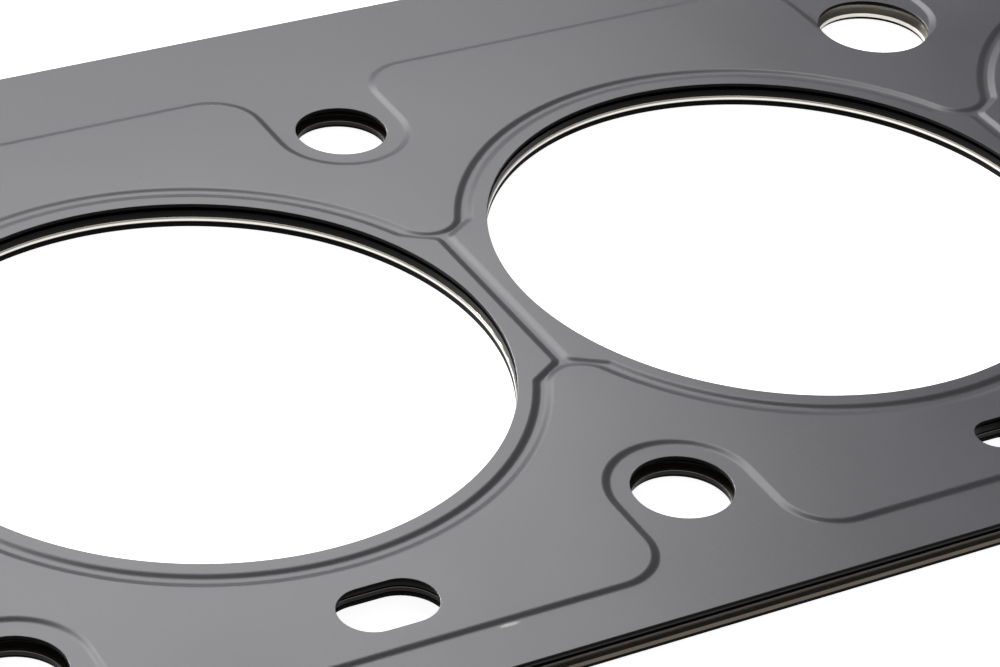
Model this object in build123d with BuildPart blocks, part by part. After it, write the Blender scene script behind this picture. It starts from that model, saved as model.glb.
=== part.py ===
from build123d import *
from math import atan, cos, degrees, radians, sin

# Multi-layer steel head gasket for a four-cylinder in-line engine, lying flat.
# X runs along the row of bores, Y across the engine, +Z is the cylinder head side.
# The origin is the middle of the gasket's footprint, on the face that meets the block.
#
# From the top: a beaded sheet, two beaded inner sheets, a flat spacer sheet that carries
# one stopper ring round each bore, and a beaded sheet below. Four eyelets hold the pack.
# Each beaded sheet has a full bead (a shallow channel) round every bore and a half bead
# (a single step) round the coolant area. Neighbouring sheets are mirror images, so beads
# meet beads and lands meet lands.

# Engine
BORE_D = 81.4            # hole round each cylinder
BORE_WEB = 6.6           # the narrowest metal between two neighbouring bores
BORE_COUNT = 4
BOLT_MID = 0.6           # middle line between the two bolt rows, past the bore row
BOLT_ROW = 47.2          # from that line to each row of head bolts
BOLT_HOLE_D = 13.0       # in the beaded sheets, clears an M12 head bolt

# Outline of the outer sheets
NEAR_EDGE = 69.0         # from the bore row to the near long edge
FAR_EDGE = 80.0          # from the bore row to the far long edge
END_MARGIN = 21.0        # from the end bolts to each short edge
CORNER_R = 12.0

# Sheets
SHEET_T = 0.50           # spring steel with its rubber coating
SPACER_T = 0.60
SPACER_OUT = 0.4         # how far the spacer and the bottom sheet stand out past the top sheet
SPACER_LIP = 0.2         # how far the spacer stands into each bolt hole
INNER_EDGE_BACK = 0.3    # how far the two inner sheets stay back from the top sheet's edge
INNER_BACK = 1.6         # how far they stay back from bolt holes

# Beads
BEAD_H = 0.25            # depth of the channel and of the step
FLANK = 1.1              # width of a sloping flank, seen from above
FIRE_LAND = 1.85         # flat ring between the bore and its bead
BEAD_W = 2.75            # full bead from land edge to land edge
WEB_BLEND_R = 4.0        # round of the coolant land where two beads join
TAB_HALF = 16.0          # half length of the straight bead in the web between bores
TAB_ANGLE = 27.0         # where the fire land leaves its ring towards the web, degrees
TAB_BITE = 0.33          # how far inside the ring a tab's outline starts
TAB_ROOT_R = 2.0
TAB_CORNER_R = 0.8

# Coolant area
COOLANT_ROW = 61.2       # from the bolts' middle line to the step along each long side
COOLANT_END = 9.0        # from the end bolts to the step at each end
NOTCH_R = 10.0           # the step's bay round a bolt hole
STEP_R = 6.5             # corners of the step where it turns into a bay

# Holes
OIL_HOLE_D = 16.8        # the far bolt hole that also feeds oil
OIL_HOLE_BOLT = 3        # its place in the far row, counted from 0
OIL_HOLE_SHIFT = (1.0, -2.9)
OIL_BAY_SHIFT = 2.5      # its bay stands this far along the row
# Coolant slots on the near side, one per bore: length, width, and how much more room
# the sheets below leave round it.
SLOTS = [(12.7, 8.5, 1.3), (12.7, 8.5, 1.3), (8.4, 6.0, 0.3), (8.4, 6.0, 0.3)]
SLOT_ROW = 53.2          # from the bore row to the middle of the slots

# Stopper rings
STOPPER_T = 0.20
STOPPER_W = 1.1

# Eyelets
EYELET_HOLE_D = 5.0
EYELET_FIT = 0.05        # gap round the barrel
EYELET_WALL = 0.4
EYELET_FLANGE_D = 8.0
EYELET_FLANGE_T = 0.2
EYELET_ROUND = 0.15      # the flanges' outer edges
EYELET_INSET = 10.0      # from the edges of the top sheet to an eyelet's axis

# Working shapes
SPARE = 10.0             # how far a shape that cuts or is cut runs past the edge it meets
BACKING_T = 1.0          # solid metal below the relief, before the sheet's underside is cut
SAME_PLACE = 1e-4        # how close two coordinates are when they count as one

# Levels, from the block face upwards
BOTTOM_CONTACT = BEAD_H + SHEET_T
SPACER_TOP = BOTTOM_CONTACT + SPACER_T
INNER_JOIN = SPACER_TOP + SHEET_T + BEAD_H
UPPER_CONTACT = INNER_JOIN + SHEET_T + BEAD_H
STACK_TOP = UPPER_CONTACT + SHEET_T + BEAD_H
SPACER_MID = BOTTOM_CONTACT + SPACER_T / 2

# Places that follow from the sizes
ROW_Y = (NEAR_EDGE - FAR_EDGE) / 2
MID_Y = ROW_Y + BOLT_MID
BORE_R = BORE_D / 2
BORE_PITCH = BORE_D + BORE_WEB   # between cylinder axes
BORE_XS = [(i - (BORE_COUNT - 1) / 2) * BORE_PITCH for i in range(BORE_COUNT)]
BOLT_XS = [(i - BORE_COUNT / 2) * BORE_PITCH for i in range(BORE_COUNT + 1)]
END_BOLT_X = BOLT_XS[-1]
HALF_LENGTH = END_BOLT_X + END_MARGIN
HALF_WIDTH = (NEAR_EDGE + FAR_EDGE) / 2
FAR_BOLT_Y = MID_Y + BOLT_ROW
NEAR_BOLT_Y = MID_Y - BOLT_ROW
OIL_HOLE_X = BOLT_XS[OIL_HOLE_BOLT]
OIL_HOLE_AT = (OIL_HOLE_X + OIL_HOLE_SHIFT[0], FAR_BOLT_Y + OIL_HOLE_SHIFT[1])
BOLT_HOLES = [(x, NEAR_BOLT_Y) for x in BOLT_XS] + [(x, FAR_BOLT_Y) for x in BOLT_XS if x != OIL_HOLE_X]
LAND_END = END_BOLT_X + COOLANT_END
FIRE_R = BORE_R + FIRE_LAND
BEAD_OUTER_R = FIRE_R + BEAD_W
TAB_X = BORE_PITCH / 2 - BEAD_W / 2
FLANK_ANGLE = degrees(atan(FLANK / BEAD_H))
EYELET_X = HALF_LENGTH - EYELET_INSET
EYELETS = [(sx * EYELET_X, sy * (HALF_WIDTH - EYELET_INSET)) for sx in (-1, 1) for sy in (-1, 1)]


def blank(level, height, edge_out, hole_more, slot_more):
    """A flat sheet with every hole, standing on a level.

    edge_out is how far its edge stands out past the top sheet, hole_more is what its bolt
    holes gain in radius, and slot_more is the share it takes of each slot's extra room.
    """
    with BuildPart() as sheet:
        with BuildSketch(Plane.XY.offset(level)):
            RectangleRounded(2 * (HALF_LENGTH + edge_out), 2 * (HALF_WIDTH + edge_out), CORNER_R + edge_out)
            with Locations([(x, ROW_Y) for x in BORE_XS]):
                Circle(BORE_R, mode=Mode.SUBTRACT)
            with Locations(BOLT_HOLES):
                Circle(BOLT_HOLE_D / 2 + hole_more, mode=Mode.SUBTRACT)
            with Locations(OIL_HOLE_AT):
                Circle(OIL_HOLE_D / 2 + hole_more, mode=Mode.SUBTRACT)
            for x, (length, width, room) in zip(BORE_XS, SLOTS):
                with Locations((x, ROW_Y - SLOT_ROW)):
                    more = 2 * room * slot_more
                    SlotOverall(length + more, width + more, mode=Mode.SUBTRACT)
            with Locations(EYELETS):
                Circle(EYELET_HOLE_D / 2, mode=Mode.SUBTRACT)
        extrude(amount=height)
    return sheet.part


def coolant_land(level):
    """The coolant area's land: its outer step, with bays round the bolt holes."""
    bays = [(x, side) for x in BOLT_XS for side in (-1, 1)]
    bay_run = COOLANT_ROW - BOLT_ROW + SPARE
    end_run = COOLANT_END + SPARE
    with BuildPart() as land:
        with BuildSketch(Plane.XY.offset(level - BEAD_H)) as step:
            with Locations((0, MID_Y)):
                Rectangle(2 * LAND_END, 2 * COOLANT_ROW)
            for x, side in bays:
                shift = OIL_BAY_SHIFT if side > 0 and x == OIL_HOLE_X else 0.0
                with Locations((x + shift, MID_Y + side * BOLT_ROW)):
                    Circle(NOTCH_R, mode=Mode.SUBTRACT)
                    outward = Align.MIN if side > 0 else Align.MAX
                    Rectangle(2 * NOTCH_R, bay_run, align=(Align.CENTER, outward), mode=Mode.SUBTRACT)
                if abs(x) == END_BOLT_X:
                    endward = Align.MIN if x > 0 else Align.MAX
                    with Locations((x, MID_Y + side * (BOLT_ROW - NOTCH_R))):
                        Rectangle(end_run, bay_run + NOTCH_R, align=(endward, outward), mode=Mode.SUBTRACT)
            corners = step.vertices().filter_by(
                lambda v: abs(abs(v.Y - MID_Y) - COOLANT_ROW) < SAME_PLACE
                or abs(abs(v.X) - LAND_END) < SAME_PLACE
            )
            fillet(corners, radius=STEP_R)
            offset(amount=FLANK)
        extrude(amount=BEAD_H, taper=FLANK_ANGLE)
    return land.part


def bead_well(level):
    """The room for the full beads: wide at the land, a flank narrower at the channel floor."""
    with BuildPart() as well:
        with BuildSketch(Plane.XY.offset(level)) as edge:
            with Locations([(x, ROW_Y) for x in BORE_XS]):
                Circle(BEAD_OUTER_R)
            webs = edge.vertices().filter_by(
                lambda v: min(abs(v.X - x) for x in BOLT_XS[1:-1]) < SAME_PLACE
            )
            fillet(webs, radius=WEB_BLEND_R)
        extrude(amount=BEAD_H, taper=FLANK_ANGLE)
        mirror(about=Plane.XY.offset(level), mode=Mode.REPLACE)
    return well.part


def fire_land(level, x, neighbours):
    """The ring of land beside one bore, with a straight-edged tab into each web."""
    root_r = FIRE_R - TAB_BITE
    root_x = root_r * cos(radians(TAB_ANGLE))
    root_y = root_r * sin(radians(TAB_ANGLE))
    with BuildPart() as land:
        with BuildSketch(Plane.XY.offset(level - BEAD_H)) as ring:
            with Locations((x, ROW_Y)):
                Circle(FIRE_R)
            for side in neighbours:
                with BuildLine(Plane.XY.offset(level - BEAD_H)):
                    Polyline(
                        (x, ROW_Y),
                        (x + side * root_x, ROW_Y + root_y),
                        (x + side * TAB_X, ROW_Y + TAB_HALF),
                        (x + side * TAB_X, ROW_Y - TAB_HALF),
                        (x + side * root_x, ROW_Y - root_y),
                        close=True,
                    )
                make_face()
            roots = ring.vertices().filter_by(lambda v: abs(v.Y - ROW_Y) > TAB_HALF + SAME_PLACE)
            fillet(roots, radius=TAB_ROOT_R)
            corners = ring.vertices().filter_by(lambda v: abs(abs(v.X - x) - TAB_X) < SAME_PLACE)
            fillet(corners, radius=TAB_CORNER_R)
            offset(amount=FLANK)
        extrude(amount=BEAD_H, taper=FLANK_ANGLE)
    return land.part


def pressed_plate(level):
    """A plate with no holes yet, its lands' top face at this level and its beads pressed down."""
    with BuildPart() as relief:
        add(coolant_land(level))
        add(bead_well(level), mode=Mode.SUBTRACT)
        for i, x in enumerate(BORE_XS):
            neighbours = [side for side in (-1, 1) if 0 <= i + side < BORE_COUNT]
            add(fire_land(level, x, neighbours))
        with BuildSketch(Plane.XY.offset(level - BEAD_H)):
            Rectangle(2 * (HALF_LENGTH + SPARE), 2 * (HALF_WIDTH + SPARE))
        extrude(amount=-BACKING_T)
    with BuildPart() as plate:
        add(relief.part)
        add(relief.part.moved(Location((0, 0, -SHEET_T))), mode=Mode.SUBTRACT)
    return plate.part


# The one pressing that all four beaded sheets share, at the two levels where beads point down
upper_plate = pressed_plate(STACK_TOP)
lower_plate = upper_plate.moved(Location((0, 0, INNER_JOIN - STACK_TOP)))

# Top sheet: rubber-coated spring steel, beads down
with BuildPart() as top_sheet:
    add(upper_plate)
    add(blank(0, STACK_TOP, 0.0, 0.0, 0.0), mode=Mode.INTERSECT)
top_sheet.part.label = "top_sheet"
export_step(top_sheet.part, "parts/top_sheet.step")

# Upper inner sheet: beads up, against the top sheet's beads
with BuildPart() as upper_inner_sheet:
    mirror(upper_plate, about=Plane.XY.offset(UPPER_CONTACT))
    add(blank(0, STACK_TOP, -INNER_EDGE_BACK, INNER_BACK, 1.0), mode=Mode.INTERSECT)
upper_inner_sheet.part.label = "upper_inner_sheet"
export_step(upper_inner_sheet.part, "parts/upper_inner_sheet.step")

# Lower inner sheet: beads down, on the spacer
with BuildPart() as lower_inner_sheet:
    add(lower_plate)
    add(blank(0, STACK_TOP, -INNER_EDGE_BACK, INNER_BACK, 1.0), mode=Mode.INTERSECT)
lower_inner_sheet.part.label = "lower_inner_sheet"
export_step(lower_inner_sheet.part, "parts/lower_inner_sheet.step")

# Spacer sheet: bare stainless steel, flat
with BuildPart() as spacer_sheet:
    add(blank(BOTTOM_CONTACT, SPACER_T, SPACER_OUT, -SPACER_LIP, 1.0))
spacer_sheet.part.label = "spacer_sheet"
export_step(spacer_sheet.part, "parts/spacer_sheet.step")

# Bottom sheet: beads up, against the spacer
with BuildPart() as bottom_sheet:
    mirror(lower_plate, about=Plane.XY.offset(SPACER_MID))
    add(blank(0, STACK_TOP, SPACER_OUT, 0.0, 1.0), mode=Mode.INTERSECT)
bottom_sheet.part.label = "bottom_sheet"
export_step(bottom_sheet.part, "parts/bottom_sheet.step")

# Stopper rings: stainless shims welded on the spacer, inside each full bead
for number, x in enumerate(BORE_XS, start=1):
    with BuildPart() as stopper_ring:
        with BuildSketch(Plane.XY.offset(SPACER_TOP)):
            with Locations((x, ROW_Y)):
                Circle(BORE_R + STOPPER_W)
                Circle(BORE_R, mode=Mode.SUBTRACT)
        extrude(amount=STOPPER_T)
    stopper_ring.part.label = f"stopper_ring_{number}"
    export_step(stopper_ring.part, f"parts/stopper_ring_{number}.step")

# Eyelets: tubular rivets through the whole pack, outside the coolant area
barrel_r = EYELET_HOLE_D / 2 - EYELET_FIT
upper_seat = STACK_TOP - BEAD_H
lower_seat = BEAD_H
for number, (x, y) in enumerate(EYELETS, start=1):
    with BuildPart() as eyelet:
        with BuildSketch(Plane.XY.offset(lower_seat - EYELET_FLANGE_T)):
            with Locations((x, y)):
                Circle(EYELET_FLANGE_D / 2)
        extrude(amount=EYELET_FLANGE_T)
        with BuildSketch(Plane.XY.offset(lower_seat)):
            with Locations((x, y)):
                Circle(barrel_r)
        extrude(amount=upper_seat - lower_seat)
        with BuildSketch(Plane.XY.offset(upper_seat)):
            with Locations((x, y)):
                Circle(EYELET_FLANGE_D / 2)
        extrude(amount=EYELET_FLANGE_T)
        with Locations((x, y, upper_seat)):
            Hole(barrel_r - EYELET_WALL)
        flange_rims = eyelet.edges().filter_by(GeomType.CIRCLE).group_by(SortBy.RADIUS)[-1]
        outer_rims = flange_rims.sort_by(Axis.Z)
        fillet([outer_rims[0], outer_rims[-1]], radius=EYELET_ROUND)
    eyelet.part.label = f"eyelet_{number}"
    export_step(eyelet.part, f"parts/eyelet_{number}.step")
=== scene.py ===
# %% [markdown]
# # A multi-layer steel cylinder head gasket
# The gasket is a stack of thin steel sheets between an engine's block and its cylinder
# head. The CAD model gives the exact sizes, and it stays as the frame that everything
# here is built around.

# %% The frame
import math

import bpy
import numpy as np
from mathutils import Matrix, Vector
from mathutils.geometry import delaunay_2d_cdt


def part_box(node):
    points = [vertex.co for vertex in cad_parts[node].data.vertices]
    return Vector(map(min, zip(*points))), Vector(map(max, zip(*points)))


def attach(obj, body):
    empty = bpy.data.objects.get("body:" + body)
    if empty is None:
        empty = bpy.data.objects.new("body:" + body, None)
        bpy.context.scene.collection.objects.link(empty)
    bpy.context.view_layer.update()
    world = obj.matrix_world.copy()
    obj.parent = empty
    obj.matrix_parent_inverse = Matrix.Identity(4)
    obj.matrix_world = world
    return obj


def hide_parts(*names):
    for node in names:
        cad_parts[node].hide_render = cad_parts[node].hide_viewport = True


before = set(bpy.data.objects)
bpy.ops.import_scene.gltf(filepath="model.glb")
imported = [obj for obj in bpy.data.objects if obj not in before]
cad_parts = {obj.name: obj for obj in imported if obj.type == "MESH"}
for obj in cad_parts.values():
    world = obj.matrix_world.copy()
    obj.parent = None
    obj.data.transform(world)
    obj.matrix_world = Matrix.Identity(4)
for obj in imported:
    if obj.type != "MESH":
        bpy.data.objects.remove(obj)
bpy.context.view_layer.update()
print("CAD nodes:", len(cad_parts))

# %% [markdown]
# ## Sizes
# Most places come from the CAD nodes' own boxes, so the finished sheets can't drift away
# from them. The widths that a box can't show are written in millimetres, here or in the
# step that first needs them.

# %% Sizes
MM = 0.001
SHEET_T = 0.50 * MM        # a beaded sheet, with its coat
STOPPER_W = 1.1 * MM       # a stopper ring, from its bore outwards
BOLT_MID = 0.6 * MM        # middle line between the bolt rows, past the bore row
BOLT_ROW = 47.2 * MM       # from that line to each bolt row
BOLT_R = 6.5 * MM

top_lo, top_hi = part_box("top_sheet")
spacer_lo, spacer_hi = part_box("spacer_sheet")
stack_top = top_hi.z
bead_h = top_hi.z - top_lo.z - SHEET_T
edge_out = top_lo.x - spacer_lo.x

ring_boxes = [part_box(f"stopper_ring_{n}") for n in (1, 2, 3, 4)]
bore_xs = [(lo.x + hi.x) / 2 for lo, hi in ring_boxes]
row_y = sum(lo.y + hi.y for lo, hi in ring_boxes) / 8
pitch = (bore_xs[3] - bore_xs[0]) / 3
bore_r = (ring_boxes[0][1].y - ring_boxes[0][0].y) / 2 - STOPPER_W
mid_y = row_y + BOLT_MID
bolt_xs = [(i - 2) * pitch for i in range(5)]
end_x = bolt_xs[4]
print("bore radius, pitch and bead height in mm:", [round(v / MM, 2) for v in (bore_r, pitch, bead_h)])

# %% [markdown]
# ## Outlines as belts
# Every edge of this gasket is made of arcs joined by straight lines that touch them
# smoothly, like a belt round pulleys. So one shape serves for all of them: a list of
# pulleys, each with a centre and a radius. A positive radius bulges outwards and a
# negative one bends in. Moving the whole outline outwards only changes the radii, and
# that gives the clean parallel lines of a pressed bead.

# %% The belt helpers
FULL_TURN = 2 * math.pi
NO_TURN = 1e-5             # an arc this close to a full turn, in radians, turns nothing
JOIN = 1e-6                # how far past its ends an arc or a line still counts


def belt(pulleys, out=0.0):
    """The arcs and lines of a closed outline, anticlockwise, moved outwards by a distance."""
    pins = [(Vector((x, y)), r + out) for x, y, r in pulleys]
    if len(pins) == 1:
        return [(pins[0][0], pins[0][1], 0.0, FULL_TURN)], []
    leave = []
    for i, (c0, r0) in enumerate(pins):
        c1, r1 = pins[(i + 1) % len(pins)]
        way = c1 - c0
        lean = math.asin(max(-1.0, min(1.0, (r0 - r1) / way.length)))
        leave.append(math.atan2(way.y, way.x) - math.pi / 2 + lean)
    arcs, lines = [], []
    for i, (c, r) in enumerate(pins):
        turn = (leave[i] - leave[i - 1]) % FULL_TURN
        if r < 0:
            turn -= FULL_TURN
        if abs(turn) > FULL_TURN - NO_TURN:
            turn = 0.0
        arcs.append((c, r, leave[i - 1], turn))
        c1, r1 = pins[(i + 1) % len(pins)]
        n = Vector((math.cos(leave[i]), math.sin(leave[i])))
        lines.append((c + n * r, c1 + n * r1, n))
    return arcs, lines


def rounded_box(half_x, half_y, r):
    """Pulleys of a rectangle with round corners, about the middle of the gasket."""
    dx, dy = half_x - r, half_y - r
    return [(dx, -dy, r), (dx, dy, r), (-dx, dy, r), (-dx, -dy, r)]


arcs, lines = belt(rounded_box(20 * MM, 10 * MM, 2 * MM))
print("a rounded box has", len(arcs), "arcs and", len(lines), "lines")

# %% [markdown]
# ## Points along a belt, and the distance to it
# A mesh needs points, so one helper walks along a belt and drops them closely on arcs
# and widely on lines. Another one measures how far a point lies outside a belt. The
# relief is a function of that distance.

# %% Walking and measuring
ARC_STEP = math.radians(6)
LONGEST_CHORD = 1.2 * MM
LINE_STEP = 15 * MM
FLAT_TURN = 1e-6           # an arc that turns less than this, in radians, is one point
SAME_POINT = 1e-7          # points closer than this, in metres, are one
NO_LENGTH = 1e-9           # a line shorter than this is none
NO_DISTANCE = 1e-12        # keeps a division safe at an arc's own centre


def walk(pulleys, out=0.0):
    """Points along an outline, in order."""
    arcs, lines = belt(pulleys, out)
    sizes = belt(pulleys)[0]
    points = []
    for i, (c, r, start, turn) in enumerate(arcs):
        chords = abs(turn * sizes[i][1]) / LONGEST_CHORD
        steps = max(1, math.ceil(abs(turn) / ARC_STEP), math.ceil(chords))
        if abs(turn) < FLAT_TURN:
            steps = 0
        last = steps if len(arcs) > 1 else steps - 1
        for k in range(last + 1):
            a = start + turn * k / max(steps, 1)
            points.append((c.x + r * math.cos(a), c.y + r * math.sin(a)))
        if lines:
            p, q, _ = lines[i]
            cuts = int((q - p).length // LINE_STEP)
            points += [tuple(p.lerp(q, k / (cuts + 1))) for k in range(1, cuts + 1)]
    return [p for p, q in zip(points, points[1:] + points[:1]) if math.dist(p, q) > SAME_POINT]


def measure(points, pulleys):
    """How far outside an outline each point is, and the outward direction there."""
    best = np.full(len(points), np.inf)
    away = np.zeros((len(points), 2))
    arcs, lines = belt(pulleys)
    for c, r, start, turn in arcs:
        rel = points - np.array(c)
        dist = np.maximum(np.hypot(rel[:, 0], rel[:, 1]), NO_DISTANCE)
        n = rel / dist[:, None] * (1 if r > 0 else -1)
        s = dist - r if r > 0 else -dist - r
        sweep = (np.arctan2(n[:, 1], n[:, 0]) - start) * (1 if r > 0 else -1)
        hit = ((sweep + JOIN) % FULL_TURN <= abs(turn) + 2 * JOIN) & (np.abs(s) < np.abs(best))
        best[hit], away[hit] = s[hit], n[hit]
    for p, q, n in lines:
        length = (q - p).length
        if length < NO_LENGTH:
            continue
        rel = points - np.array(p)
        along = rel @ np.array((q - p) / length)
        s = rel @ np.array(n)
        hit = (along >= -JOIN) & (along <= length + JOIN) & (np.abs(s) < np.abs(best))
        best[hit], away[hit] = s[hit], np.array(n)
    return best, away


print("a bolt hole's edge has", len(walk([(0, 0, BOLT_R)])), "points")

# %% [markdown]
# ## The lines of the relief
# The sheet is pressed from flat spring steel. Three lands stand high. The coolant area
# is the widest, and its outer edge is a step with a bay round every bolt. Each bore has
# a narrow fire ring. The step comes first, as one belt round both rows of bolts.

# %% The step round the coolant area
COOLANT_ROW = 61.2 * MM    # from the bolts' middle line to the step
COOLANT_END = 9.0 * MM     # from the end bolts to the step
BAY_R = 10.0 * MM
STEP_R = 6.5 * MM
OIL_BAY_SHIFT = 2.5 * MM   # the oil hole's bay stands this far along the row
OIL_BOLT = 3


def coolant_edge():
    """The step round the coolant area, from the near left corner anticlockwise."""
    step_y = COOLANT_ROW - STEP_R
    land_x = end_x + COOLANT_END
    pulleys = []
    for side in (-1, 1):
        row = []
        for x in bolt_xs:
            mid = x + (OIL_BAY_SHIFT if side > 0 and x == bolt_xs[OIL_BOLT] else 0.0)
            reach = BAY_R + STEP_R
            bay = [(mid - reach, step_y, STEP_R), (mid, BOLT_ROW, -BAY_R), (mid + reach, step_y, STEP_R)]
            corner_y = BOLT_ROW - reach
            if x == bolt_xs[0]:
                bay = [(-land_x + STEP_R, corner_y, STEP_R), bay[1], bay[2]]
            if x == bolt_xs[4]:
                bay = [bay[0], bay[1], (land_x - STEP_R, corner_y, STEP_R)]
            row += bay
        row = [(x, mid_y + side * y, r) for x, y, r in row]
        pulleys += row if side < 0 else row[::-1]
    return pulleys


print("the coolant step has", len(coolant_edge()), "arcs")

# %% [markdown]
# ## The full bead
# Round each bore, between the fire ring and the coolant land, runs the full bead: a
# channel. It needs no outline of its own. The coolant land's inner edge and the fire
# rings' edges are drawn as belts, and the channel is what is left between them. Each
# fire ring has a straight-sided tab towards its neighbours, in the web.

# %% The full bead's two edges
FIRE_LAND = 1.85 * MM
BEAD_W = 2.75 * MM
WEB_BLEND_R = 4.0 * MM     # where two beads join at a web
TAB_HALF = 16.0 * MM
TAB_ANGLE = math.radians(27)
TAB_BITE = 0.33 * MM
TAB_ROOT_R = 2.0 * MM
TAB_CORNER_R = 0.8 * MM

fire_r = bore_r + FIRE_LAND
well_r = fire_r + BEAD_W
tab_x = pitch / 2 - BEAD_W / 2


def well_edge():
    """The edge of the coolant land round all four bores."""
    cusp_y = math.sqrt((well_r + WEB_BLEND_R) ** 2 - (pitch / 2) ** 2)
    pulleys = []
    for side in (-1, 1):
        row = []
        for i, x in enumerate(bore_xs):
            row.append((x, row_y, well_r))
            if i < 3:
                row.append((x + pitch / 2, row_y + side * cusp_y, -WEB_BLEND_R))
        pulleys += row[:-1] if side < 0 else row[::-1][:-1]
    return pulleys


def fire_edge(i):
    """The edge of one bore's fire ring, with a tab towards each neighbour."""
    x = bore_xs[i]
    root = Vector((math.cos(TAB_ANGLE), math.sin(TAB_ANGLE))) * (fire_r - TAB_BITE)
    tip = Vector((tab_x, TAB_HALF))
    v = (tip - root).normalized()
    n = Vector((-v.y, v.x))
    corner_y = tip.y - TAB_CORNER_R * (1 - n.x) / n.y
    start = tip + n * TAB_ROOT_R
    half = start.dot(v)
    back = half - math.sqrt(half**2 - start.length_squared + (fire_r + TAB_ROOT_R) ** 2)
    c = start - v * back
    tab = [(c.x, -c.y, -TAB_ROOT_R), (tab_x - TAB_CORNER_R, -corner_y, TAB_CORNER_R)]
    tab += [(px, -py, r) for px, py, r in reversed(tab)]
    pulleys = []
    if i < 3:
        pulleys += [(x + px, row_y + py, r) for px, py, r in tab]
    pulleys.append((x, row_y, fire_r))
    if i > 0:
        pulleys += [(x - px, row_y - py, r) for px, py, r in tab]
    if 0 < i < 3:
        pulleys.append((x, row_y, fire_r))
    return pulleys


lands = {"coolant": coolant_edge(), "well": well_edge()}
fire_rings = [fire_edge(i) for i in range(4)]
print("relief outlines:", len(lands) + len(fire_rings))

# %% [markdown]
# ## Pressing the bead
# A press tool has rounded corners, so real sheet doesn't fold along a sharp line: it
# bends over a small radius at the top and at the foot of every flank. The height falls
# from 1 on a land to 0 in a channel along a smooth S. It is a plain function of the
# distance to an outline, so it can be asked for at any point.

# %% The height of the relief
FLANK = 1.1 * MM
SOFT = 0.1 * MM            # how far the S starts before its flank, and ends after it
SPREAD = FLANK + 2 * SOFT
STEPS = 10
NUDGE = 0.02 * MM          # the slope is measured over this much to each side
profile_steps = [SPREAD * k / STEPS - SOFT for k in range(STEPS + 1)]


def fall(s):
    """1 on a land, 0 past its flank, with a smooth S between them."""
    return (1 + np.cos(math.pi * np.clip((s + SOFT) / SPREAD, 0, 1))) / 2


def relief(points):
    """The height of the pressed sheet at each point, from 0 to 1."""
    coolant = fall(measure(points, lands["coolant"])[0])
    beyond_well = fall(-measure(points, lands["well"])[0])
    fire = np.min([measure(points, ring)[0] for ring in fire_rings], axis=0)
    return np.maximum(np.minimum(coolant, beyond_well), fall(fire))


def slope_of(points):
    """The slope of the relief in x and in y, for the normals."""
    dx, dy = np.array((NUDGE, 0)), np.array((0, NUDGE))
    gx = (relief(points + dx) - relief(points - dx)) / (2 * NUDGE)
    gy = (relief(points + dy) - relief(points - dy)) / (2 * NUDGE)
    return np.column_stack((gx, gy)) * bead_h


relief_lines = [walk(lands["coolant"], s) for s in profile_steps]
relief_lines += [walk(lands["well"], -s) for s in profile_steps]
relief_lines += [walk(ring, s) for ring in fire_rings for s in profile_steps]
print("relief lines:", len(relief_lines), "with", sum(map(len, relief_lines)), "points")

# %% [markdown]
# ## The holes
# A hole is one pulley and a slot is two. The bottom sheet and the spacer have roomier
# coolant slots than the top sheet, and the spacer stands a little into each bolt hole
# and into the oil hole.

# %% Holes
SPACER_LIP = 0.2 * MM
OIL_R = 8.4 * MM
OIL_SHIFT = (1.0 * MM, -2.9 * MM)
SLOT_ROW = 53.2 * MM       # from the bore row
SLOTS = [(12.7 * MM, 8.5 * MM, 1.3 * MM)] * 2 + [(8.4 * MM, 6.0 * MM, 0.3 * MM)] * 2
EYELET_HOLE_R = 2.5 * MM

oil_at = (bolt_xs[OIL_BOLT] + OIL_SHIFT[0], mid_y + BOLT_ROW + OIL_SHIFT[1])
eyelet_boxes = [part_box(f"eyelet_{n}") for n in (1, 2, 3, 4)]
eyelets = [((lo.x + hi.x) / 2, (lo.y + hi.y) / 2) for lo, hi in eyelet_boxes]


def holes(bolt_more=0.0, slot_more=0.0):
    """The pulleys of every hole in a sheet. slot_more is the share of the slots' extra room."""
    found = [[(x, row_y, bore_r)] for x in bore_xs]
    found += [[(x, mid_y - BOLT_ROW, BOLT_R + bolt_more)] for x in bolt_xs]
    found += [[(x, mid_y + BOLT_ROW, BOLT_R + bolt_more)] for x in bolt_xs if x != bolt_xs[OIL_BOLT]]
    found.append([(*oil_at, OIL_R + bolt_more)])
    for x, (length, width, room) in zip(bore_xs, SLOTS):
        r = width / 2 + room * slot_more
        reach = (length - width) / 2
        found.append([(x - reach, row_y - SLOT_ROW, r), (x + reach, row_y - SLOT_ROW, r)])
    return found + [[(x, y, EYELET_HOLE_R)] for x, y in eyelets]


print("holes in a sheet:", len(holes()))

# %% [markdown]
# ## Cutting the flat blank
# A blanking die cuts the outline and every hole. The mesh is made the same way: all the
# outlines and the relief's lines go into one flat triangulation that keeps them as
# edges, and the triangles inside the holes are dropped. Two extra loops just inside each
# cut edge leave room for a very small round, which is what catches the light.

# %% Blank
RIM = 0.05 * MM
RIM_LOOPS = (RIM, RIM * (1 - math.sin(math.pi / 4)), 0.0)
ALL_TRIANGLES = 0          # the triangulation returns every triangle, also in the holes
NEAR = 1e-8                # and merges points closer than this, in metres


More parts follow.
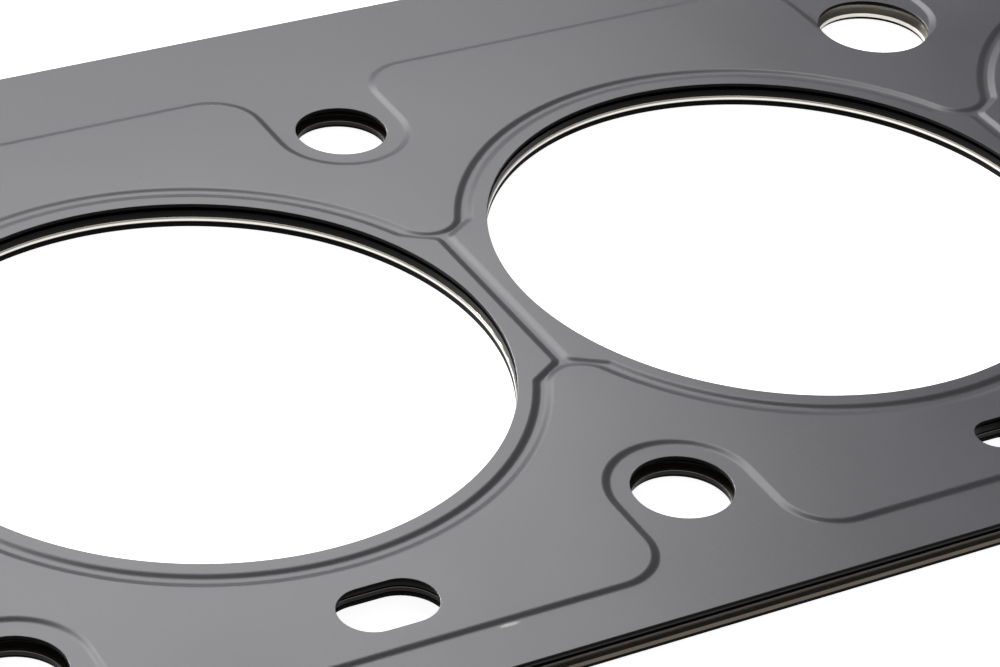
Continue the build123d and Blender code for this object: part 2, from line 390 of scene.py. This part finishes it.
def blank(rims, lines_kept):
    """The flat points and triangles of a blank. Each rim is an outline and its inward sign."""
    loops, faces = [], []
    for pulleys, inwards in rims:
        loops += [walk(pulleys, inwards * d) for d in RIM_LOOPS]
        faces.append(len(loops) - 1)
    points, edges, ids = [], [], []
    for loop in loops + lines_kept:
        ids.append(list(range(len(points), len(points) + len(loop))))
        points += loop
        edges += list(zip(ids[-1], ids[-1][1:] + ids[-1][:1]))
    flat = [Vector(p) for p in points]
    made = delaunay_2d_cdt(flat, edges, [ids[k] for k in faces], ALL_TRIANGLES, NEAR, True)
    kept = [f for f, inside in zip(made[2], made[5]) if list(inside) == [0]]
    used = np.unique(np.array(kept))
    renumber = {int(v): i for i, v in enumerate(used)}
    kept = np.array([[renumber[v] for v in f] for f in kept])
    plan = np.array([tuple(v) for v in made[0]])[used]
    a, b, c = (plan[kept[:, k]] for k in range(3))
    wrong_way = np.cross(b - a, c - a) < 0
    kept[wrong_way] = kept[wrong_way][:, ::-1]
    return plan, kept


small_points, small_faces = blank([(rounded_box(20 * MM, 10 * MM, 2 * MM), -1)], [])
print("a small blank has", len(small_points), "points and", len(small_faces), "triangles")

# %% [markdown]
# ## From the blank to a sheet
# Every flat point is lifted to its height, and rounded down close to a cut edge. A copy
# one thickness lower closes the sheet from below, and walls join the two round every
# edge. The normals come from the relief's own slope, so the flat areas stay flat.

# %% Sheet builder
FACE, EDGE, BORE_EDGE = 0, 1, 2


def in_bore(p):
    """True on a cylinder bore's own edge."""
    return min(math.dist(p, (x, row_y)) for x in bore_xs) < bore_r + RIM


def rim_lean(plan, rims):
    """How far the surface leans over at each point, and the way out of the metal there."""
    depth = np.full(len(plan), np.inf)
    out = np.zeros((len(plan), 2))
    for pulleys, inwards in rims:
        s, n = measure(plan, pulleys)
        nearer = s * inwards < depth
        depth[nearer], out[nearer] = (s * inwards)[nearer], (-n * inwards)[nearer]
    return np.arcsin((RIM - np.clip(depth, 0, RIM)) / RIM), out


def turn_over(verts, polygons, loop_n):
    """The same sheet, mirrored about the middle of the stack."""
    verts[:, 2] = stack_top - verts[:, 2]
    loop_n[:, 2] *= -1
    sizes = [len(f) for f in polygons]
    starts = np.cumsum([0] + sizes[:-1])
    order = np.concatenate([np.arange(s + n - 1, s - 1, -1) for s, n in zip(starts, sizes)])
    return verts, [tuple(f)[::-1] for f in polygons], loop_n[order]


def cut_sheet(name, outline, cut_outs, pressed, z_top, thickness, flip=False):
    """A sheet with rounded cut edges. Its upper face is at z_top, less the relief if pressed."""
    rims = [(outline, -1)] + [(hole, 1) for hole in cut_outs]
    plan, kept = blank(rims, relief_lines if pressed else [])
    lean, out = rim_lean(plan, rims)
    count = len(plan)
    height = (relief(plan) - 1) * bead_h if pressed else np.zeros(count)
    slope = slope_of(plan) if pressed else np.zeros((count, 2))
    z_up = z_top + height - RIM * (1 - np.cos(lean))
    z_down = z_top + height - thickness
    verts = np.vstack((np.column_stack((plan, z_up)), np.column_stack((plan, z_down))))

    face_n = np.column_stack((-slope, np.ones(count)))
    face_n /= np.linalg.norm(face_n, axis=1)[:, None]
    wall_n = np.column_stack((out, np.zeros(count)))
    up_n = face_n * np.cos(lean)[:, None] + wall_n * np.sin(lean)[:, None]

    pairs = np.vstack((kept[:, [0, 1]], kept[:, [1, 2]], kept[:, [2, 0]]))
    keys = {tuple(p) for p in pairs.tolist()}
    rim = sorted((p, q) for p, q in keys if (q, p) not in keys)
    walls = [(q, p, p + count, q + count) for p, q in rim]
    under = kept[:, ::-1]
    polygons = kept.tolist() + (under + count).tolist() + walls
    loop_n = np.vstack((up_n[kept.ravel()], -face_n[under.ravel()], wall_n[np.array(walls).ravel() % count]))
    if flip:
        verts, polygons, loop_n = turn_over(verts, polygons, loop_n)

    mesh = bpy.data.meshes.new(name)
    mesh.from_pydata(verts.tolist(), [], [tuple(f) for f in polygons])
    mesh.update()
    mesh.polygons.foreach_set("use_smooth", [True] * len(polygons))
    wall_kind = [BORE_EDGE if in_bore(plan[p]) and not pressed else EDGE for p, _ in rim]
    mesh.polygons.foreach_set("material_index", [FACE] * (2 * len(kept)) + wall_kind)
    mesh.normals_split_custom_set(loop_n.tolist())
    piece = bpy.data.objects.new(name, mesh)
    bpy.context.scene.collection.objects.link(piece)
    print(name, len(polygons), "faces")
    return piece


# %% [markdown]
# ## The beaded sheets, the spacer and the stopper rings
# The top and the bottom sheet are one pressing, laid back to back. Between them lies the
# flat spacer, which stands out a little past the top sheet's edge. On it, round each
# bore, sits a thin stopper ring that takes up the fire land's load.

# %% Sheets and rings
CORNER_R = 12 * MM

outline = rounded_box(top_hi.x, top_hi.y, CORNER_R)
lower_outline = rounded_box(top_hi.x + edge_out, top_hi.y + edge_out, CORNER_R + edge_out)
top_sheet = cut_sheet("top_sheet_pressed", outline, holes(), True, stack_top, SHEET_T)
bottom_holes = holes(slot_more=1)
bottom_sheet = cut_sheet(
    "bottom_sheet_pressed", lower_outline, bottom_holes, True, stack_top, SHEET_T, flip=True
)
spacer_t = spacer_hi.z - spacer_lo.z
spacer_holes = holes(-SPACER_LIP, 1)
spacer = cut_sheet("spacer_sheet_rolled", lower_outline, spacer_holes, False, spacer_hi.z, spacer_t)
rings = []
for number, x in enumerate(bore_xs, start=1):
    lo, hi = ring_boxes[number - 1]
    rim_line = [(x, row_y, bore_r + STOPPER_W)]
    hole = [[(x, row_y, bore_r)]]
    rings.append(cut_sheet(f"stopper_ring_{number}_shim", rim_line, hole, False, hi.z, hi.z - lo.z))

# %% [markdown]
# ## Colours and nodes
# Colours are written as sRGB hex values, the way a paint chart gives them, and one
# function turns them into the linear values that light is computed with. One more small
# function adds a node with its settings, links and colour stops, so each material reads
# as a list.

# %% The material helpers
def srgb(code):
    """A hex colour as linear red, green, blue and alpha."""
    parts = [int(code[k : k + 2], 16) / 255 for k in (1, 3, 5)]
    return [p / 12.92 if p <= 0.04045 else ((p + 0.055) / 1.055) ** 2.4 for p in parts] + [1.0]


def add(tree, kind, inputs=None, stops=(), **settings):
    """A new node. Its inputs are values or other nodes' outputs, and its stops run from 0 to 1."""
    made = tree.nodes.new(kind)
    if stops:
        marks = made.color_ramp.elements
        marks[0].color, marks[1].color = srgb(stops[0][1]), srgb(stops[-1][1])
        for at, code in stops[1:-1]:
            marks.new(at).color = srgb(code)
    for name, value in settings.items():
        setattr(made, name, value)
    for name, value in (inputs or {}).items():
        if isinstance(value, bpy.types.NodeSocket):
            tree.links.new(value, made.inputs[name])
        else:
            made.inputs[name].default_value = value
    return made


def new_material(name):
    """An empty material and its node tree."""
    material = bpy.data.materials.new(name)
    material.use_nodes = True
    material.node_tree.nodes.clear()
    return material, material.node_tree


print("graphite grey is", [round(v, 3) for v in srgb("#454449")])

# %% [markdown]
# ## The coating
# The beaded sheets are spring steel with a thin fluoro-rubber coat on both faces, rolled
# on and baked. It is graphite grey with a satin sheen, and close up it has a fine grain
# from its filler. So it is a plain dielectric with a middling roughness, whose grain
# shifts the colour, the roughness and, very slightly, the surface. On the near step line
# one spot is scuffed through to the steel.

# %% Fluoro-rubber coat
GRAIN = 0.35 * MM          # the filler's real grain is finer, but would not show
CLOUD = 25 * MM            # slow unevenness of the rolled coat
GRAIN_DEPTH = 0.005 * MM
SCUFF_AT = Vector((-32.8, -67.5, 3.4)) * MM
SCUFF_HALF = Vector((1.8, 0.4, 1.0)) * MM

coat, tree = new_material("fluoro_rubber_coat")
place = add(tree, "ShaderNodeTexCoord").outputs["Object"]
noise = {"Vector": place, "Scale": 1 / GRAIN, "Detail": 3.0}
grain = add(tree, "ShaderNodeTexNoise", noise).outputs["Fac"]
noise = {"Vector": place, "Scale": 1 / CLOUD, "Detail": 2.0}
cloud = add(tree, "ShaderNodeTexNoise", noise).outputs["Fac"]
mixed = add(tree, "ShaderNodeMath", {0: grain, 1: cloud}, operation="ADD").outputs[0]
uneven = {"Value": mixed, "From Min": 0.7, "From Max": 1.3}
tone = add(tree, "ShaderNodeMapRange", uneven).outputs[0]
shades = {0: tone, 6: srgb("#454449"), 7: srgb("#4c4b51")}
colour = add(tree, "ShaderNodeMix", shades, data_type="RGBA").outputs[2]
satin = add(tree, "ShaderNodeMapRange", {**uneven, "To Min": 0.28, "To Max": 0.34}).outputs[0]
bump = add(tree, "ShaderNodeBump", {"Height": grain, "Strength": 0.1, "Distance": GRAIN_DEPTH}).outputs[0]

centre = [-c / h for c, h in zip(SCUFF_AT, SCUFF_HALF)]
round_it = {"Vector": place, "Location": centre, "Scale": [1 / h for h in SCUFF_HALF]}
spot = add(tree, "ShaderNodeMapping", round_it).outputs[0]
reach = add(tree, "ShaderNodeVectorMath", {0: spot}, operation="LENGTH").outputs["Value"]
ragged = add(tree, "ShaderNodeMath", {0: reach, 1: grain}, operation="ADD").outputs[0]
worn = {"Value": ragged, "From Min": 1.0, "From Max": 1.45, "To Min": 0.8, "To Max": 0.0}
bare = add(tree, "ShaderNodeMapRange", worn).outputs[0]
shades = {0: bare, 6: colour, 7: srgb("#75736f")}
colour = add(tree, "ShaderNodeMix", shades, data_type="RGBA").outputs[2]
inputs = {"Base Color": colour, "Metallic": bare, "Roughness": satin, "Normal": bump, "IOR": 1.5}
shader = add(tree, "ShaderNodeBsdfPrincipled", inputs)
add(tree, "ShaderNodeOutputMaterial", {"Surface": shader.outputs[0]})
print("coating nodes:", len(tree.nodes))

# %% [markdown]
# ## Edges of the coated sheets
# The beaded sheets are blanked after coating. Their cut edges are torn steel and hardly shine. They are near
# black, partly from the rubber that the punch smears over them and partly as painted shade of edges that lie
# deep in the stack.

# %% Smeared edge
SMEAR = 0.6 * MM           # length of a smear along the edge

smeared_and_shaded_edge, tree = new_material("rubber_smear_and_painted_shade_edge")
place = add(tree, "ShaderNodeTexCoord").outputs["Object"]
noise = {"Vector": place, "Scale": 1 / SMEAR, "Detail": 3.0}
smear = add(tree, "ShaderNodeTexNoise", noise).outputs["Fac"]
# near black: partly the smeared rubber, partly painted shade of edges deep in the stack
shades = {0: smear, 6: srgb("#0a0a0a"), 7: srgb("#181818")}
colour = add(tree, "ShaderNodeMix", shades, data_type="RGBA").outputs[2]
inputs = {"Base Color": colour, "Roughness": 0.85, "Specular IOR Level": 0.15}
shader = add(tree, "ShaderNodeBsdfPrincipled", inputs)
add(tree, "ShaderNodeOutputMaterial", {"Surface": shader.outputs[0]})
print("smeared edge nodes:", len(tree.nodes))

# %% [markdown]
# ## Bare stainless steel
# The stopper rings are bare cold-rolled stainless shim, and so is the spacer under its
# cut edges. Rolling leaves very fine lines along the strip, which stretch its highlights
# across them.

# %% Rolled stainless steel
ROLL_LINE = 0.15 * MM      # real rolling lines are finer, but would not show
ROLL_LENGTH = 12 * MM
ROLL_DEPTH = 0.004 * MM

steel, tree = new_material("rolled_stainless_steel")
place = add(tree, "ShaderNodeTexCoord").outputs["Object"]
strip = (1 / ROLL_LENGTH, 1 / ROLL_LINE, 1 / ROLL_LINE)
stretch = add(tree, "ShaderNodeMapping", {"Vector": place, "Scale": strip}).outputs[0]
lines = add(tree, "ShaderNodeTexNoise", {"Vector": stretch, "Scale": 1.0, "Detail": 4.0}).outputs["Fac"]
shades = {0: lines, 6: srgb("#c9c3b8"), 7: srgb("#e3ded4")}
colour = add(tree, "ShaderNodeMix", shades, data_type="RGBA").outputs[2]
polish = add(tree, "ShaderNodeMapRange", {"Value": lines, "To Min": 0.22, "To Max": 0.36}).outputs[0]
bump = add(tree, "ShaderNodeBump", {"Height": lines, "Strength": 0.2, "Distance": ROLL_DEPTH}).outputs[0]
inputs = {"Base Color": colour, "Metallic": 1.0, "Roughness": polish, "Normal": bump}
shader = add(tree, "ShaderNodeBsdfPrincipled", inputs)
add(tree, "ShaderNodeOutputMaterial", {"Surface": shader.outputs[0]})
print("rolled steel nodes:", len(tree.nodes))

# %% [markdown]
# ## Cut edges in the stack
# A punch first cuts cleanly and then tears. The cut edges of the inner sheets and the spacer are painted
# with light
# and shade: painted shade, near black, at the top under the top sheet, and painted light from the table that
# grows towards the bottom. Round the outside the painted light is paler. In the small holes painted shade
# keeps them dark.
# Both have a painted highlight along the spacer's upper edge. The oil hole's walls are painted bright, a
# painted reflection of the table. One colour ramp over the height draws the outside and another the holes.

# %% Stack edge
BORDER = 2 * MM            # how far in from the outline an edge counts as outside
RAMP_END = 0.2 * MM        # the ramps end this far below the top sheet
OIL_LIGHT_REACH = 3 * MM            # how far past its radius the oil hole's walls are painted bright

edge_light_and_shade, tree = new_material("stack_edge_painted_light_and_shade")
coords = add(tree, "ShaderNodeTexCoord").outputs["Object"]
x, y, z = add(tree, "ShaderNodeSeparateXYZ", {0: coords}).outputs
span = {"Value": z, "From Min": spacer_lo.z, "From Max": top_lo.z - RAMP_END}
level = add(tree, "ShaderNodeMapRange", span).outputs[0]
# outside: painted shade near black at the top, paler painted light towards the bottom, and a painted
# highlight line
outer_painted_light = add(tree, "ShaderNodeValToRGB", {0: level}, stops=[
    (0.0, "#6b6257"), (0.3, "#665f57"), (0.33, "#95908a"),
    (0.7, "#615e5b"), (0.75, "#403f3e"), (1.0, "#303030"),
]).outputs[0]
# holes: painted shade, darkest at the top, with a painted highlight along the spacer's upper edge
hole_painted_shade = add(tree, "ShaderNodeValToRGB", {0: level}, stops=[
    (0.0, "#2e2d2c"), (0.27, "#272626"), (0.29, "#8a857c"),
    (0.34, "#8a857c"), (0.4, "#222121"), (1.0, "#0c0c0c"),
]).outputs[0]

borders = []
for across, edge in ((x, spacer_hi.x), (y, spacer_hi.y)):
    reach = add(tree, "ShaderNodeMath", {0: across}, operation="ABSOLUTE").outputs[0]
    past = {0: reach, 1: edge - BORDER}
    borders.append(add(tree, "ShaderNodeMath", past, operation="GREATER_THAN").outputs[0])
either = {0: borders[0], 1: borders[1]}
outside = add(tree, "ShaderNodeMath", either, operation="MAXIMUM").outputs[0]
shades = {0: outside, 6: hole_painted_shade, 7: outer_painted_light}
colour = add(tree, "ShaderNodeMix", shades, data_type="RGBA").outputs[2]

# the oil hole's walls are painted bright, a painted reflection of the table
oil_mid = {0: coords, 1: (*oil_at, stack_top / 2)}
from_oil = add(tree, "ShaderNodeVectorMath", oil_mid, operation="DISTANCE").outputs["Value"]
oil_hole_painted_light = add(tree, "ShaderNodeMath", {0: from_oil, 1: OIL_R + OIL_LIGHT_REACH}, operation="LESS_THAN").outputs[0]
shades = {0: oil_hole_painted_light, 6: colour, 7: srgb("#e6e2da")}
colour = add(tree, "ShaderNodeMix", shades, data_type="RGBA").outputs[2]
shader = add(tree, "ShaderNodeBsdfPrincipled", {"Base Color": colour, "Metallic": 1.0, "Roughness": 0.5})
add(tree, "ShaderNodeOutputMaterial", {"Surface": shader.outputs[0]})
print("stack edge nodes:", len(tree.nodes))

# %% [markdown]
# ## Bore walls
# Inside a bore, the stopper ring and the spacer are bare steel between the dark edges of the coated sheets.
# Their
# colour is painted with light and shade: a painted reflection of the table makes a bright band a little
# below the middle of the spacer's edge, painted shade darkens its bottom, and painted shade darkens the ring
# towards its top.
# A dark joint line parts the ring from it. One ramp over the height draws all of this.

# %% Bore wall
JOINT_HALF = 0.05          # half the joint line's place on the ramp

bore_wall_light_and_shade, tree = new_material("bore_wall_painted_light_and_shade")
coords = add(tree, "ShaderNodeTexCoord").outputs["Object"]
z = add(tree, "ShaderNodeSeparateXYZ", {0: coords}).outputs["Z"]
ring_top = ring_boxes[0][1].z
span = {"Value": z, "From Min": spacer_lo.z, "From Max": ring_top}
level = add(tree, "ShaderNodeMapRange", span).outputs[0]
joint = (spacer_hi.z - spacer_lo.z) / (ring_top - spacer_lo.z)
# painted shade at the bottom, a painted reflection of the table as the bright band, the dark joint, painted
# shade at the top
colour = add(tree, "ShaderNodeValToRGB", {0: level}, stops=[
    (0.0, "#262626"), (0.16, "#2e2d2c"), (0.24, "#f2eee6"), (0.45, "#f2eee6"),
    (joint - JOINT_HALF, "#b5b0a8"), (joint, "#2c2b2a"), (joint + JOINT_HALF, "#a09b94"),
    (1.0, "#6b6864"),
]).outputs[0]
shader = add(tree, "ShaderNodeBsdfPrincipled", {"Base Color": colour, "Metallic": 1.0, "Roughness": 0.28})
add(tree, "ShaderNodeOutputMaterial", {"Surface": shader.outputs[0]})
print("the joint is at", round(joint, 2), "of the bright band")

# %% [markdown]
# ## Zinc-plated eyelets
# The eyelets are turned-over steel tubes with a bright zinc plate, which is slightly blue
# and mottled.

# %% Zinc plate
MOTTLE = 0.8 * MM

zinc, tree = new_material("zinc_plate")
place = add(tree, "ShaderNodeTexCoord").outputs["Object"]
noise = {"Vector": place, "Scale": 1 / MOTTLE, "Detail": 4.0}
mottle = add(tree, "ShaderNodeTexNoise", noise).outputs["Fac"]
shades = {0: mottle, 6: srgb("#a9adb3"), 7: srgb("#c8cbd0")}
colour = add(tree, "ShaderNodeMix", shades, data_type="RGBA").outputs[2]
polish = add(tree, "ShaderNodeMapRange", {"Value": mottle, "To Min": 0.25, "To Max": 0.42}).outputs[0]
shader = add(tree, "ShaderNodeBsdfPrincipled", {"Base Color": colour, "Metallic": 1.0, "Roughness": polish})
add(tree, "ShaderNodeOutputMaterial", {"Surface": shader.outputs[0]})
print("zinc nodes:", len(tree.nodes))

# %% [markdown]
# ## Dressing the pieces
# Each new sheet stands for its CAD node. Its faces, its cut edges and its bore walls each
# take a finish. The inner sheets and the eyelets keep their CAD shapes, of which little
# more than the cut edges can be seen, and only get a material.

# %% Finishes
new_finishes = [
    (top_sheet, "top_sheet", "coated_steel", (coat, smeared_and_shaded_edge)),
    (bottom_sheet, "bottom_sheet", "coated_steel", (coat, smeared_and_shaded_edge)),
    (spacer, "spacer_sheet", "bare_steel", (edge_light_and_shade, edge_light_and_shade, bore_wall_light_and_shade)),
]
for number, ring in enumerate(rings, start=1):
    new_finishes.append((ring, f"stopper_ring_{number}", "bare_steel", (steel, steel, bore_wall_light_and_shade)))
for piece, node, slot, finish in new_finishes:
    for material in finish:
        piece.data.materials.append(material)
    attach(piece, "root")
    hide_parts(node)

kept_finishes = [("upper_inner_sheet", edge_light_and_shade), ("lower_inner_sheet", edge_light_and_shade)]
kept_finishes += [(f"eyelet_{n}", zinc) for n in (1, 2, 3, 4)]
for name, material in kept_finishes:
    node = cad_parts[name]
    node.data.materials.clear()
    node.data.materials.append(material)

# %% [markdown]
# ## The table
# The gasket lies on a white matt table. Where the camera looks at it, straight or in a
# mirroring edge, the table also glows, so that it looks as white as paper. That hides all
# but the deepest of the gasket's shadow. No light from the glow falls on the gasket's matt
# surfaces. The table lies a hair below the gasket, so that their faces never coincide.

# %% Table
GLOW = 0.9
TABLE_SIZE = 8.0
TABLE_GAP = 0.01 * MM

white, tree = new_material("white_table")
seen = add(tree, "ShaderNodeLightPath").outputs
rays = {0: seen["Is Camera Ray"], 1: seen["Is Glossy Ray"]}
direct = add(tree, "ShaderNodeMath", rays, operation="MAXIMUM").outputs[0]
matt = add(tree, "ShaderNodeBsdfDiffuse", {"Color": srgb("#f4f4f4")}).outputs[0]
glow_level = add(tree, "ShaderNodeMath", {0: direct, 1: GLOW}, operation="MULTIPLY").outputs[0]
glow = add(tree, "ShaderNodeEmission", {"Color": (1, 1, 1, 1), "Strength": glow_level}).outputs[0]
both = add(tree, "ShaderNodeAddShader", {0: matt, 1: glow}).outputs[0]
add(tree, "ShaderNodeOutputMaterial", {"Surface": both})

bpy.ops.mesh.primitive_plane_add(size=TABLE_SIZE, location=(0, 0, -TABLE_GAP))
table = bpy.context.object
table.name = "white_table_top"
table.data.materials.append(white)
print("table glow:", GLOW)

# %% [markdown]
# ## The light
# A satin coat shows its relief by what it mirrors. The flat faces mirror a large softbox
# behind the gasket towards the camera, and slopes that face the camera or the right
# mirror the dim room, so they draw dark lines. A narrow lamp at the softbox's left and a
# low one that reaches down to the table lift the slopes that face left. The room itself is
# dim, and white only where the camera sees it.

# %% Light
def softbox(name, azimuth, elevation, distance, width, height, radiance):
    """A rectangular lamp that faces the gasket. Azimuth 0 is behind it and 90 is to the right."""
    a, e = math.radians(azimuth), math.radians(elevation)
    way = Vector((math.sin(a) * math.cos(e), math.cos(a) * math.cos(e), math.sin(e)))
    data = bpy.data.lights.new(name, "AREA")
    data.shape = "RECTANGLE"
    data.size, data.size_y = width, height
    data.energy = radiance * math.pi * width * height
    lamp = bpy.data.objects.new(name, data)
    lamp.location = way * distance
    lamp.rotation_mode = "QUATERNION"
    lamp.rotation_quaternion = way.to_track_quat("Z", "Y")
    lamp.visible_camera = False
    bpy.context.scene.collection.objects.link(lamp)
    return lamp


ROOM = 0.2
softbox("softbox_back", azimuth=12.5, elevation=45, distance=1.6, width=1.12, height=0.9, radiance=4.65)
softbox("softbox_left", azimuth=-4, elevation=42, distance=1.6, width=0.35, height=0.6, radiance=3.2)
softbox("softbox_low", azimuth=-23, elevation=9, distance=2.0, width=1.6, height=0.62, radiance=38.0)

world = bpy.data.worlds.new("white_room")
bpy.context.scene.world = world
world.use_nodes = True
tree = world.node_tree
tree.nodes.clear()
ray = add(tree, "ShaderNodeLightPath").outputs["Is Camera Ray"]
room = add(tree, "ShaderNodeMapRange", {"Value": ray, "To Min": ROOM, "To Max": 1.0}).outputs[0]
sky = add(tree, "ShaderNodeBackground", {"Color": (1, 1, 1, 1), "Strength": room}).outputs[0]
add(tree, "ShaderNodeOutputWorld", {"Surface": sky})
print("lamps:", len(bpy.data.lights))

# %% [markdown]
# ## Camera
# A long lens, close to the middle bores, looking down along the gasket from its near
# left and a little turned. Its axes are worked out from the three angles, because a
# camera looks along its own -Z with +Y up.

# %% Camera
LENS_MM = 127.1
AZIMUTH, ELEVATION, ROLL = (math.radians(d) for d in (-30.778, 33.117, 4.106))
DISTANCE = 459.9 * MM
aim = Vector((-4.49, -13.27, 3.60)) * MM

level_part = math.cos(ELEVATION)
back = Vector((math.sin(AZIMUTH) * level_part, -math.cos(AZIMUTH) * level_part, math.sin(ELEVATION)))
right = Vector((0, 0, 1)).cross(back).normalized()
up = back.cross(right)
turned_right = right * math.cos(ROLL) + up * math.sin(ROLL)
turned_up = up * math.cos(ROLL) - right * math.sin(ROLL)
lens = bpy.data.cameras.new("camera")
lens.lens = LENS_MM
lens.sensor_width = 36.0
lens.clip_start = 0.01
camera = bpy.data.objects.new("camera", lens)
axes = Matrix((turned_right, turned_up, back)).transposed().to_4x4()
camera.matrix_world = Matrix.Translation(aim + back * DISTANCE) @ axes
bpy.context.scene.collection.objects.link(camera)
bpy.context.scene.camera = camera
bpy.context.scene.view_settings.view_transform = "Standard"
print("camera distance in mm:", round(DISTANCE / MM, 1))
